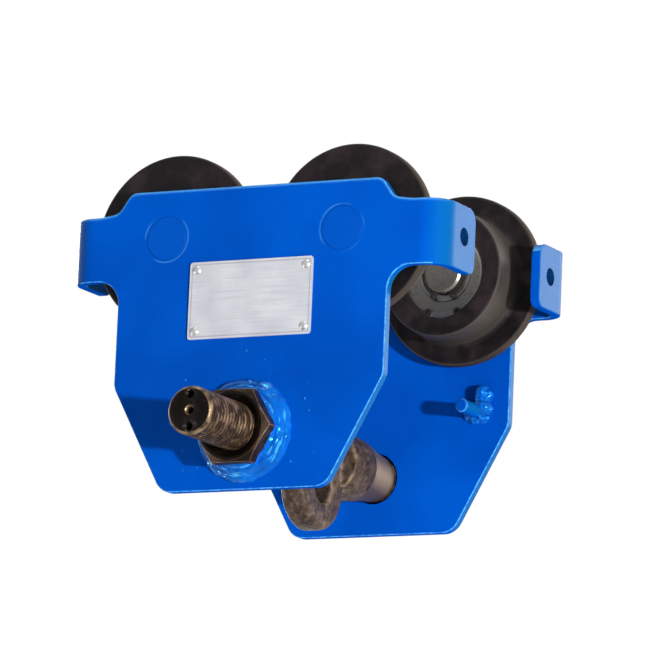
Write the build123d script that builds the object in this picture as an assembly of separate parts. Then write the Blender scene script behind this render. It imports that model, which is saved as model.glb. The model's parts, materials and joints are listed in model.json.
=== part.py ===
from build123d import *
import os
from math import cos, radians, sin, sqrt, tan

# A push trolley for the lower flange of an I-beam, in millimetres.
# X runs along the beam, Y across it and Z up. The origin is the middle of
# the flange's running surface, so the wheels stand on Z = 0.

# The flange that the trolley is set for
flange_width = 110.0
flange_play = 4.0          # from each edge of the flange to the wheel rim

# Wheels
tread_radius = 33.0        # at the crown of the tread
tread_width = 22.0
tread_crown = 0.6          # fall of the tread from its crown to its edges
tread_root = 2.5           # fillet between tread and rim
tread_edge = 1.5           # rounding of the tread's free edge
rim_radius = 43.5
rim_thickness = 6.0
rim_edge = 1.2             # rounding of the rim's two edges
rim_gap = 3.0              # between the side plate and the rim
wheel_gap = 9.5            # between the rims of the two wheels on one plate
lip_gap = 1.6              # between the wheel's lip and the axle pin
lip_relief = 0.6           # of the lip's face inside the outer ring
hub_recess = 5.0           # from the wheel's inner face to the bearing

# Deep groove ball bearing in each wheel
bearing_bore = 20.0
bearing_outside = 47.0
bearing_width = 14.0
ring_wall = 4.0            # radial thickness of either ring at its shoulder
ring_chamfer = 1.0
ball_diameter = 7.94
ball_count = 8
ball_play = 0.3            # between the balls and what they run in
cage_wall = 3.0            # radial thickness of the cage
cage_width = 10.4
shield_thickness = 0.8
shield_recess = 0.4        # below the face of the bearing
shield_gap = 0.3           # above the inner ring
seat_play = 0.02           # of a pressed seat

# Axle pins, welded into the side plate and ground flush with its outer face
spigot_radius = 11.0
spigot_chamfer = 0.3       # leaves a fine ring in the plate's face
pin_shoulder_radius = 13.0
pin_tail = 2.4             # past the groove of the circlip
pin_chamfer = 1.0

# Snap rings that hold the bearing on its pin and in its wheel
clip_thickness = 1.2
clip_groove = 0.5
clip_wall = 2.8
hub_clip_thickness = 1.75
hub_clip_groove = 1.25
hub_clip_wall = 3.6
clip_play = 0.05
clip_mouth = 34.0          # open angle between the two ends, degrees
clip_lug_radius = 2.0
clip_eye_radius = 0.9

# Side plates, cut from sheet and bent at both ears
plate_thickness = 5.0
plate_edge = 0.7           # rounding of the cut edges
plate_head = 24.0          # from the axles to the top edge
plate_foot = 29.0          # from the load bar to the bottom edge
corner_run = 29.0          # sloped lower corners, along X
corner_rise = 53.5         # and along Z
corner_top_radius = 9.0
corner_bottom_radius = 10.0
shoulder_run = 7.0         # S-shaped shoulder between top edge and ear
shoulder_offset = 2.0      # of its foot past the side edge
shoulder_top_radius = 6.0
shoulder_foot_radius = 6.5

# Ears, bent inwards past the wheels as buffers
ear_height = 34.0
ear_reach = 24.0           # from the plate's side edge to the ear's inner face
ear_drop = 3.0             # of the ear's middle below the axles
ear_fall = 1.5             # of the ear's top edge towards the bend
ear_fall_blend = 30.0      # radius where the top edge levels out
ear_level = 4.0            # level top edge before the bend
ear_clearance = 6.25       # from the wheel rim to the ear
ear_depth = 36.0           # behind the plate's outer face
ear_bend_radius = 8.0      # on the inner face
ear_root_radius = 12.0     # fillet under the ear
ear_tip_top_radius = 7.0
ear_tip_bottom_radius = 5.0
ear_hole_radius = 4.5
ear_hole_margin = 12.5     # from the tip to the hole

# Load bar with opposite threads and a turned collar each side of a flat eye
bar_drop = 65.0            # axis below the running surface
bar_length = 260.0
thread_radius = 12.0
thread_start = 64.5        # from the middle of the bar
thread_relief = 0.5        # chamfer from shank to thread
shank_radius = 12.5
cone_start = 38.0
cone_end = 60.0
cone_blend = 10.0          # radius where the cone meets the shank
collar_radius = 16.5
collar_start = 30.0
collar_blend = 6.0         # radius at both ends of the collar
collar_face_radius = 14.8
collar_face_edge = 0.8
bar_chamfer = 1.5
spanner_hole_radius = 2.25
spanner_hole_depth = 6.0
spanner_hole_spacing = 16.0
centre_cone_radius = 2.6
centre_cone_depth = 4.5

# Suspension eye in the middle of the bar
eye_thickness = 14.0
eye_radius = 22.5
eye_hole_radius = 9.0
eye_drop = 14.6            # of the eye's centre below the bar's axis
eye_rise = 12.0            # of the eye's flat root above the bar's axis
eye_overlap = 4.0          # of the eye's root inside each collar
eye_edge = 4.0             # forged rounding of the outline
eye_mouth = 2.0            # rounding of the hole's two mouths

# Nuts welded to the side plates
nut_flats = 36.0
nut_height = 15.0
nut_face_ratio = 0.95      # chamfer circle over the width across flats
nut_chamfer_angle = 30.0
nut_play = 0.1             # round the bar's thread
nut_lead = 2.2             # countersink of the mouth at the plate
nut_mouth_width = 3.7      # countersink of the free mouth
nut_mouth_depth = 2.6
nut_weld_radius = 26.5
nut_weld_height = 6.5
nut_weld_step = 1.0        # of the bead's crest out from the flats

# Studs under the flange that stop the trolley from tipping
stud_radius = 3.5
stud_length = 20.0
stud_x = 57.0
stud_drop = 33.1           # below the running surface
stud_chamfer = 0.8
stud_weld_radius = 7.5
stud_weld_height = 4.0
stud_weld_step = 0.5
stud_lump_radius = 5.8     # run of weld above the stud, in two lumps
stud_lump_height = 7.0
stud_lump_offset = 4.0     # outwards from the stud's axis
stud_lump_low = 1.5        # heights above the stud's axis
stud_lump_high = 8.0
weld_swell = 0.09          # bulge of a bead's flank over the flank's length

# Nameplate on the front side plate, held by drive rivets
nameplate_width = 67.5
nameplate_height = 38.5
nameplate_thickness = 0.8
nameplate_corner = 1.5
nameplate_rise = 0.5       # of its middle above the running surface
rivet_margin_x = 3.75      # from the edges of the nameplate
rivet_margin_z = 4.0
rivet_head_radius = 2.2
rivet_head_height = 1.1
rivet_radius = 1.45
rivet_grip = 4.0           # length in the side plate
rivet_play = 0.05

# Clearances in the side plate
bar_hole_play = 0.5        # round the bar's shank
spigot_play = 0.02         # round the spigot of an axle pin
past = 1.0                 # run of a cutting shape past a face
tolerance = 1e-6           # for telling faces apart by their place

# Places that follow from the sizes above
plate_inner_y = flange_width / 2 + flange_play + rim_thickness + rim_gap
plate_outer_y = plate_inner_y + plate_thickness
axle_x = rim_radius + wheel_gap / 2
axle_z = tread_radius
bar_z = -bar_drop
plate_top = axle_z + plate_head
plate_bottom = bar_z - plate_foot
ear_z = axle_z - ear_drop
ear_top = ear_z + ear_height / 2
ear_bottom = ear_z - ear_height / 2
ear_outer_x = axle_x + rim_radius + ear_clearance + plate_thickness
ear_inner_x = ear_outer_x - plate_thickness
body_half = ear_inner_x - ear_reach
ear_hole_depth = ear_depth - ear_hole_margin
rivet_x = nameplate_width / 2 - rivet_margin_x
rivet_z = nameplate_height / 2 - rivet_margin_z

# Depths inside a wheel, from the inner face of its side plate
rim_end = rim_gap + rim_thickness
wheel_end = rim_end + tread_width
bearing_end = wheel_end - hub_recess
bearing_start = bearing_end - bearing_width
bearing_middle = (bearing_start + bearing_end) / 2
seat_radius = bearing_outside / 2
pin_radius = bearing_bore / 2
pitch_radius = (seat_radius + pin_radius) / 2
race_radius = ball_diameter / 2 + ball_play
inner_ring_top = pin_radius + ring_wall
outer_ring_bore = seat_radius - ring_wall


def closed_face(points):
    return make_face(Polyline(*points, close=True))


def rounded(face, corners):
    for (x, y), radius in corners:
        corner = face.vertices().sort_by_distance((x, y, 0))[0]
        face = fillet(corner, radius)
    return face


def turned(points, corners=()):
    """Solid of revolution about Y, from points of (radius, place along Y)."""
    return revolve(rounded(closed_face(points), corners), Axis.Y)


def round_bar(radius, start, end):
    return turned([(0, start), (radius, start), (radius, end), (0, end)])


def both_halves(half):
    return half + mirror(half, Plane.YZ)


def half_turn(shape):
    """The same piece on the opposite side of the beam."""
    return Rot(0, 0, 180) * shape


def weld_bead(foot_radius, crest_radius, height, core):
    """Swollen fillet weld round a core that stands on Y = 0, towards -Y."""
    leg = foot_radius - crest_radius
    middle = ((foot_radius + crest_radius) / 2 + weld_swell * height, -height / 2 - weld_swell * leg)
    flank = ThreePointArc((foot_radius, 0), middle, (crest_radius, -height))
    rest = Polyline((crest_radius, -height), (0, -height), (0, 0), (foot_radius, 0))
    return revolve(make_face(flank + rest), Axis.Y) - core


def bent_sheet():
    """The sheet before its outline is cut: a wide U, seen from above."""
    outer_corner = (ear_outer_x, 0)
    inner_corner = (ear_inner_x, plate_thickness)
    half = rounded(
        closed_face([
            (0, 0), outer_corner, (ear_outer_x, ear_depth),
            (ear_inner_x, ear_depth), inner_corner, (0, plate_thickness)]),
        [(outer_corner, ear_bend_radius + plate_thickness), (inner_corner, ear_bend_radius)])
    return Pos(0, -plate_outer_y, plate_bottom) * extrude(both_halves(half), plate_top - plate_bottom)


def plate_outline():
    """Front view of the side plate, run through the depth of the ears."""
    shoulder_top = (body_half + shoulder_offset - shoulder_run, plate_top)
    shoulder_foot = (body_half + shoulder_offset, ear_top)
    level_start = (ear_inner_x - ear_bend_radius - ear_level, ear_top - ear_fall)
    ear_root = (body_half, ear_bottom)
    corner_top = (body_half, plate_bottom + corner_rise)
    corner_bottom = (body_half - corner_run, plate_bottom)
    half = rounded(
        closed_face([
            (0, plate_top), shoulder_top, shoulder_foot, level_start,
            (ear_outer_x + past, ear_top - ear_fall), (ear_outer_x + past, ear_bottom),
            ear_root, corner_top, corner_bottom, (0, plate_bottom)]),
        [(shoulder_top, shoulder_top_radius), (shoulder_foot, shoulder_foot_radius),
         (level_start, ear_fall_blend), (ear_root, ear_root_radius), (corner_top, corner_top_radius),
         (corner_bottom, corner_bottom_radius)])
    return extrude(Plane.XZ * both_halves(half), plate_outer_y + past)


def tip_edges(plate):
    return plate.edges().filter_by(Axis.X).group_by(Axis.Y)[-1].group_by(Axis.Z)


def is_sheet_face(face):
    """True for the two skins of the sheet, false for its cut edges."""
    centre = face.center()
    if face.geom_type == GeomType.CYLINDER:
        return abs(face.normal_at(centre).Z) < tolerance
    from_plate = min(abs(centre.Y + plate_outer_y), abs(centre.Y + plate_inner_y))
    from_ear = min(abs(abs(centre.X) - ear_outer_x), abs(abs(centre.X) - ear_inner_x))
    return min(from_plate, from_ear) < tolerance


def side_plate():
    plate = bent_sheet() & plate_outline()
    plate = fillet(tip_edges(plate)[-1], ear_tip_top_radius)
    plate = fillet(tip_edges(plate)[0], ear_tip_bottom_radius)
    skins = [face.edges() for face in plate.faces() if is_sheet_face(face)]
    cut_edges = [edge for edge in plate.edges() if sum(edge in skin for skin in skins) == 1]
    plate = fillet(cut_edges, plate_edge)

    through = round_bar(spigot_radius, -plate_outer_y - past, -plate_inner_y + past)
    bar_hole = round_bar(shank_radius + bar_hole_play, -plate_outer_y - past, -plate_inner_y + past)
    plate -= [Pos(x, 0, axle_z) * through for x in (-axle_x, axle_x)]
    plate -= Pos(0, 0, bar_z) * bar_hole
    ear_hole = Rot(0, 90, 0) * Cylinder(ear_hole_radius, 2 * ear_outer_x + past)
    return plate - Pos(0, ear_hole_depth - plate_outer_y, ear_z) * ear_hole


def wheel():
    lip_radius = pin_shoulder_radius + lip_gap
    edge_radius = tread_radius - tread_crown
    groove_radius = seat_radius + hub_clip_groove
    groove_end = bearing_end + hub_clip_thickness + clip_play
    lip_end = bearing_start - lip_relief
    tread = ThreePointArc(
        (edge_radius, rim_end), (tread_radius, (rim_end + wheel_end) / 2), (edge_radius, wheel_end))
    rest = Polyline(
        (edge_radius, wheel_end), (seat_radius, wheel_end), (seat_radius, groove_end),
        (groove_radius, groove_end), (groove_radius, bearing_end), (seat_radius, bearing_end),
        (seat_radius, bearing_start), (outer_ring_bore, bearing_start),
        (outer_ring_bore, lip_end), (lip_radius, lip_end), (lip_radius, rim_gap),
        (rim_radius, rim_gap), (rim_radius, rim_end), (edge_radius, rim_end))
    section = rounded(
        make_face(tread + rest),
        [((rim_radius, rim_gap), rim_edge), ((rim_radius, rim_end), rim_edge),
         ((edge_radius, rim_end), tread_root), ((edge_radius, wheel_end), tread_edge)])
    return revolve(section, Axis.Y)


def axle_pin():
    spigot = spigot_radius - spigot_play
    groove_end = bearing_end + clip_thickness + clip_play
    tail_end = groove_end + pin_tail
    return turned([
        (0, -plate_thickness), (spigot - spigot_chamfer, -plate_thickness),
        (spigot, spigot_chamfer - plate_thickness), (spigot, 0),
        (pin_shoulder_radius, 0), (pin_shoulder_radius, bearing_start),
        (pin_radius, bearing_start), (pin_radius, bearing_end),
        (pin_radius - clip_groove, bearing_end), (pin_radius - clip_groove, groove_end),
        (pin_radius, groove_end), (pin_radius, tail_end - pin_chamfer),
        (pin_radius - pin_chamfer, tail_end), (0, tail_end)])


def bearing_ring(land_radius, seat, chamfer):
    """One ring; the sign of the chamfer points from its seat to its race."""
    race = Pos(0, bearing_middle, 0) * Rot(90, 0, 0) * Torus(pitch_radius, race_radius)
    depth = abs(chamfer)
    blank = turned([
        (land_radius, bearing_start), (land_radius, bearing_end),
        (seat + chamfer, bearing_end), (seat, bearing_end - depth),
        (seat, bearing_start + depth), (seat + chamfer, bearing_start)])
    return blank - race


def ball_places():
    pitch = 360 / ball_count
    return [Rot(0, (index + 0.5) * pitch, 0) * Pos(pitch_radius, bearing_middle, 0)
            for index in range(ball_count)]


def bearing_cage():
    start = bearing_middle - cage_width / 2
    end = bearing_middle + cage_width / 2
    top = pitch_radius + cage_wall / 2
    bottom = pitch_radius - cage_wall / 2
    band = turned([(bottom, start), (top, start), (top, end), (bottom, end)])
    pocket = Rot(0, 90, 0) * Cylinder(race_radius, 2 * cage_wall)
    return band - [place * pocket for place in ball_places()]


def bearing_shields():
    top = outer_ring_bore - seat_play
    bottom = inner_ring_top + shield_gap
    far = bearing_width / 2 - shield_recess
    near = far - shield_thickness
    shields = []
    for side in (-1, 1):
        disc = turned([(bottom, side * near), (top, side * near), (top, side * far), (bottom, side * far)])
        shields.append(Pos(0, bearing_middle, 0) * disc)
    return Part() + shields


def snap_ring(inner, outer, lug_place, thickness):
    """Open ring with two eyed lugs, against the face of the bearing."""
    half_mouth = radians(clip_mouth) / 2
    reach = 2 * outer
    mouth_x = reach * sin(half_mouth)
    mouth_y = -reach * cos(half_mouth)
    ring = Circle(outer) - Circle(inner) - closed_face([(0, 0), (mouth_x, mouth_y), (-mouth_x, mouth_y)])
    for side in (-1, 1):
        angle = side * (half_mouth + clip_lug_radius / lug_place)
        lug = Pos(lug_place * sin(angle), -lug_place * cos(angle))
        ring = ring + lug * Circle(clip_lug_radius) - lug * Circle(clip_eye_radius)
    return extrude(Plane.XZ.offset(-bearing_end) * ring, -thickness)


def axle_circlip():
    inner = pin_radius - clip_groove + clip_play
    outer = inner + clip_wall
    return snap_ring(inner, outer, outer, clip_thickness)


def hub_clip():
    outer = seat_radius + hub_clip_groove - clip_play
    inner = outer - hub_clip_wall
    return snap_ring(inner, outer, inner, hub_clip_thickness)


def hexagon():
    return extrude(Plane.XZ * RegularPolygon(nut_flats / sqrt(3), 6), nut_height)


def load_nut():
    """Hexagon with its corners fore and aft, standing on Y = 0, towards -Y."""
    face_radius = nut_face_ratio * nut_flats / 2
    full_radius = nut_flats / sqrt(3) + past
    chamfer = (full_radius - face_radius) * tan(radians(nut_chamfer_angle))
    envelope = turned([
        (0, 0), (full_radius, 0), (full_radius, chamfer - nut_height),
        (face_radius, -nut_height), (0, -nut_height)])
    bore = thread_radius + nut_play
    hollow = turned([
        (0, 0), (bore + nut_lead, 0), (bore, -nut_lead), (bore, nut_mouth_depth - nut_height),
        (bore + nut_mouth_width, -nut_height), (0, -nut_height)])
    return (hexagon() & envelope) - hollow


def bar_half():
    """Collar, cone, shank and thread on the +Y side."""
    face = eye_radius - eye_overlap
    end = bar_length / 2
    face_edge = (collar_face_radius, face)
    collar_near = (collar_radius, collar_start)
    collar_far = (collar_radius, cone_start)
    cone_foot = (shank_radius, cone_end)
    half = turned(
        [(0, face), face_edge, collar_near, collar_far, cone_foot,
         (shank_radius, thread_start - thread_relief), (thread_radius, thread_start),
         (thread_radius, end - bar_chamfer), (thread_radius - bar_chamfer, end), (0, end)],
        [(face_edge, collar_face_edge), (collar_near, collar_blend),
         (collar_far, collar_blend), (cone_foot, cone_blend)])
    centre = turned([(0, end), (centre_cone_radius, end), (0, end - centre_cone_depth)])
    hole = round_bar(spanner_hole_radius, end - spanner_hole_depth, end + past)
    holes = [Pos(0, 0, z) * hole for z in (-spanner_hole_spacing / 2, spanner_hole_spacing / 2)]
    return half - centre - holes


def eye():
    """Flat lug whose root runs up between the two collars."""
    root = Pos(0, (eye_rise - eye_drop) / 2) * Rectangle(2 * eye_radius, eye_rise + eye_drop)
    outline = root + Pos(0, -eye_drop) * Circle(eye_radius)
    lug = extrude(Plane.YZ * outline, eye_thickness / 2, both=True)
    flats = lug.edges().group_by(Axis.X)
    lug = fillet(flats[0] + flats[-1], eye_edge)
    lug -= Pos(0, 0, -eye_drop) * Rot(0, 90, 0) * Cylinder(eye_hole_radius, eye_thickness + past)
    mouths = lug.edges().filter_by(GeomType.CIRCLE).filter_by(lambda edge: edge.radius == eye_hole_radius)
    return fillet(mouths, eye_mouth)


def load_bar():
    half = bar_half()
    return Pos(0, 0, bar_z) * (eye() + half + half_turn(half))


def rivet_places():
    return [Pos(x, -plate_outer_y, nameplate_rise + z)
            for x in (-rivet_x, rivet_x) for z in (-rivet_z, rivet_z)]


def nameplate():
    sheet = extrude(
        Plane.XZ * RectangleRounded(nameplate_width, nameplate_height, nameplate_corner), nameplate_thickness)
    hole = round_bar(rivet_radius + rivet_play, -nameplate_thickness - past, past)
    plate = Pos(0, -plate_outer_y, nameplate_rise) * sheet
    return plate - [place * hole for place in rivet_places()]


def rivet():
    """Domed head on the nameplate and a shank in the side plate."""
    crown = -nameplate_thickness - rivet_head_height
    brim = (rivet_head_radius, -nameplate_thickness)
    dome = TangentArc((0, crown), brim, tangent=(1, 0))
    rest = Polyline(
        brim, (rivet_radius, -nameplate_thickness), (rivet_radius, rivet_grip), (0, rivet_grip), (0, crown))
    return revolve(make_face(dome + rest), Axis.Y)


def tilt_stud():
    end = stud_length
    return turned([
        (0, 0), (stud_radius, 0), (stud_radius, end - stud_chamfer),
        (stud_radius - stud_chamfer, end), (0, end)])


def stud_weld():
    """Bead round the stud's foot, built up with two lumps above it."""
    core = round_bar(stud_radius, -stud_length, past)
    weld = half_turn(weld_bead(stud_weld_radius, stud_radius + stud_weld_step, stud_weld_height, core))
    crown = TangentArc((0, stud_lump_height), (stud_lump_radius, 0), tangent=(1, 0))
    lump = revolve(make_face(crown + Polyline((stud_lump_radius, 0), (0, 0), (0, stud_lump_height))), Axis.Y)
    for rise in (stud_lump_low, stud_lump_high):
        weld += Pos(-stud_lump_offset, 0, rise) * lump
    return weld - half_turn(core)


# One side plate with everything fixed to it, built at the front
bar_place = Pos(0, -plate_outer_y, bar_z)
stud_place = Pos(-stud_x, -plate_inner_y, -stud_drop)
plate_pieces = {
    "side_plate": side_plate(),
    "load_nut": bar_place * load_nut(),
    "nut_weld": bar_place * weld_bead(
        nut_weld_radius, nut_flats / 2 + nut_weld_step, nut_weld_height, hexagon()),
    "tilt_stud": stud_place * tilt_stud(),
    "stud_weld": stud_place * stud_weld(),
}

# One wheel with its bearing and axle pin, along Y from the plate's inner face
wheel_pieces = {
    "wheel": wheel(),
    "axle_pin": axle_pin(),
    "bearing_outer_ring": bearing_ring(outer_ring_bore, seat_radius - seat_play, -ring_chamfer),
    "bearing_inner_ring": bearing_ring(inner_ring_top, pin_radius + seat_play, ring_chamfer),
    "bearing_balls": Part() + [place * Sphere(ball_diameter / 2) for place in ball_places()],
    "bearing_cage": bearing_cage(),
    "bearing_shields": bearing_shields(),
    "axle_circlip": axle_circlip(),
    "hub_clip": hub_clip(),
}

rivet_hole = round_bar(rivet_radius + rivet_play, -past, rivet_grip)
parts = {
    "load_bar": load_bar(),
    "nameplate": nameplate(),
    "nameplate_rivets": Part() + [place * rivet() for place in rivet_places()],
}
for piece, shape in plate_pieces.items():
    parts[f"front_{piece}"] = shape
    parts[f"rear_{piece}"] = half_turn(shape)
parts["front_side_plate"] -= [place * rivet_hole for place in rivet_places()]

for piece, shape in wheel_pieces.items():
    for hand, x in (("left", -axle_x), ("right", axle_x)):
        parts[f"front_{hand}_{piece}"] = Pos(x, -plate_inner_y, axle_z) * shape
        parts[f"rear_{hand}_{piece}"] = Pos(x, plate_inner_y, axle_z) * half_turn(shape)

os.makedirs("parts", exist_ok=True)
for node, shape in parts.items():
    export_step(shape, f"parts/{node}.step")
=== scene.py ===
import bpy
import bmesh
import json
from math import cos, hypot, pi, radians, sin
from mathutils import Matrix, Vector


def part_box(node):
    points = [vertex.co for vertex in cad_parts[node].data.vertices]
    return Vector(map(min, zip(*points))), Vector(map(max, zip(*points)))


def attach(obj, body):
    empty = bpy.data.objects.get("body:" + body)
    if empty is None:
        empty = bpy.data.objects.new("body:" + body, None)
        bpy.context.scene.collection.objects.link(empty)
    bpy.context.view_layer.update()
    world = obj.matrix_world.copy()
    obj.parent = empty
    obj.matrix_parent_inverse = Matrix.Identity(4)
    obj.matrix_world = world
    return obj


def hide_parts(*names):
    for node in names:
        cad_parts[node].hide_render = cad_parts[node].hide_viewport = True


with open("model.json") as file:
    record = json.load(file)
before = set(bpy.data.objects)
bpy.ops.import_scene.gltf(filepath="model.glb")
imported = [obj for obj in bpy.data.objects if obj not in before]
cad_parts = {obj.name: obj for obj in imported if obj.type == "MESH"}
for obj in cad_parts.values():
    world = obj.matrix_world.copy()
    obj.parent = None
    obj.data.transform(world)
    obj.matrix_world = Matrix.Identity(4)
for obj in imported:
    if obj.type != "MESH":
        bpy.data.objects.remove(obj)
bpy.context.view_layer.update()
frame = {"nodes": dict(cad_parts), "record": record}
cadNodes = frame["nodes"]
scene = bpy.context.scene
mm = 0.001
oneSpot = 1e-6  # points nearer than this are one, m


def middleOf(node):
    low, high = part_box(node)
    return (Vector(low) + Vector(high)) / 2


barZ = middleOf("front_load_nut").z
axle = middleOf("front_right_wheel")
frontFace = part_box("front_side_plate")[0][1]  # Y of the front plate's outer face
plateThick = 0.005
earHole = next(m for m in frame["record"]["mounts"] if m["name"] == "rear_right_ear_hole")
print("frame loaded:", len(cadNodes), "nodes")


def linearColor(hexCode):
    channels = [int(hexCode[i:i + 2], 16) / 255 for i in (1, 3, 5)]
    linear = [c / 12.92 if c <= 0.04045 else ((c + 0.055) / 1.055) ** 2.4 for c in channels]
    return (*linear, 1.0)


def perMetre(sizeMm):
    return 1 / (sizeMm * mm)


def setInputs(tree, node, inputs):  # a node or an output is linked, anything else is set on the socket
    for key, value in inputs.items():
        named = (s for s in node.inputs if s.name == key and s.enabled)
        socket = node.inputs[key] if type(key) is int else next(named)
        if isinstance(value, bpy.types.Node):
            value = next(s for s in value.outputs if s.enabled)
        if isinstance(value, bpy.types.NodeSocket):
            tree.links.new(value, socket)
        else:
            socket.default_value = value


def addNode(tree, kind, inputs=None, **settings):  # a Map Range runs from 0 to 1 unless 3 and 4 say otherwise
    node = tree.nodes.new(kind)
    for name, value in settings.items():
        setattr(node, name, value)
    setInputs(tree, node, inputs or {})
    return node


def startMaterial(name):
    material = bpy.data.materials.new(name)
    material.use_nodes = True
    tree = material.node_tree
    tree.nodes.clear()
    place = addNode(tree, "ShaderNodeTexCoord").outputs["Object"]
    shader = addNode(tree, "ShaderNodeBsdfPrincipled")
    addNode(tree, "ShaderNodeOutputMaterial", {"Surface": shader})
    return material, tree, place, shader


def layCoats(tree, base, *coats):  # one colour over another, each where its own mask says
    tone = linearColor(base)
    for mask, color in coats:
        color = linearColor(color) if type(color) is str else color
        tone = addNode(tree, "ShaderNodeMix", {0: mask, 6: tone, 7: color}, data_type="RGBA")
    return tone


def offAxis(tree, across, up, centre):  # how far a point is from an axis, by two of its coordinates
    side = addNode(tree, "ShaderNodeMath", {0: across, 1: centre[0]}, operation="SUBTRACT")
    rise = addNode(tree, "ShaderNodeMath", {0: up, 1: centre[1]}, operation="SUBTRACT")
    flat = addNode(tree, "ShaderNodeCombineXYZ", {"X": side, "Z": rise})
    return addNode(tree, "ShaderNodeVectorMath", {0: flat}, operation="LENGTH").outputs["Value"]


def edgeMask(tree, width):  # 1 along edges, 0 on flat faces
    soft = addNode(tree, "ShaderNodeBevel", {"Radius": width}, samples=4)
    plain = addNode(tree, "ShaderNodeNewGeometry").outputs["Normal"]
    likeness = addNode(tree, "ShaderNodeVectorMath", {0: soft, 1: plain}, operation="DOT_PRODUCT").outputs["Value"]
    return addNode(tree, "ShaderNodeMapRange", {"Value": likeness, 1: 0.995, 2: 0.85})


enamel = {
    "color": "#004FB8", "deep": "#0046AA", "paleHighlight": "#62BCF6", "chip": "#3A3431", "gleam": "#50BCFF",
    "sideShade": "#04528E", "holeShade": "#06305F", "roughness": 0.28, "shine": 0.09, "dullBelow": True,
    "cloudMm": 55.0, "peelMm": 2.4, "peelDeep": 0.03, "dustMm": 1.1, "chipMm": 2.2,
    "earFrom": 80.0, "earFlat": 97.0, "pinRing": 12.5,  # start and end of an ear's bend, radius of a filled joint, mm
    "highlightShare": 0.7, "sideShadeShare": 1.0, "studTo": 67.5, "studHighlight": 0.35,  # the studs lie inside studTo, mm
    "topFrom": 41.0, "topMm": 2.3, "topHighlight": 0.8,  # a pale band along upper edges: painted highlight, mm
    "streak": 0.0, "streakMm": 1.7, "streakTurn": 0.45,  # width mm, length radians
}


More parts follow.
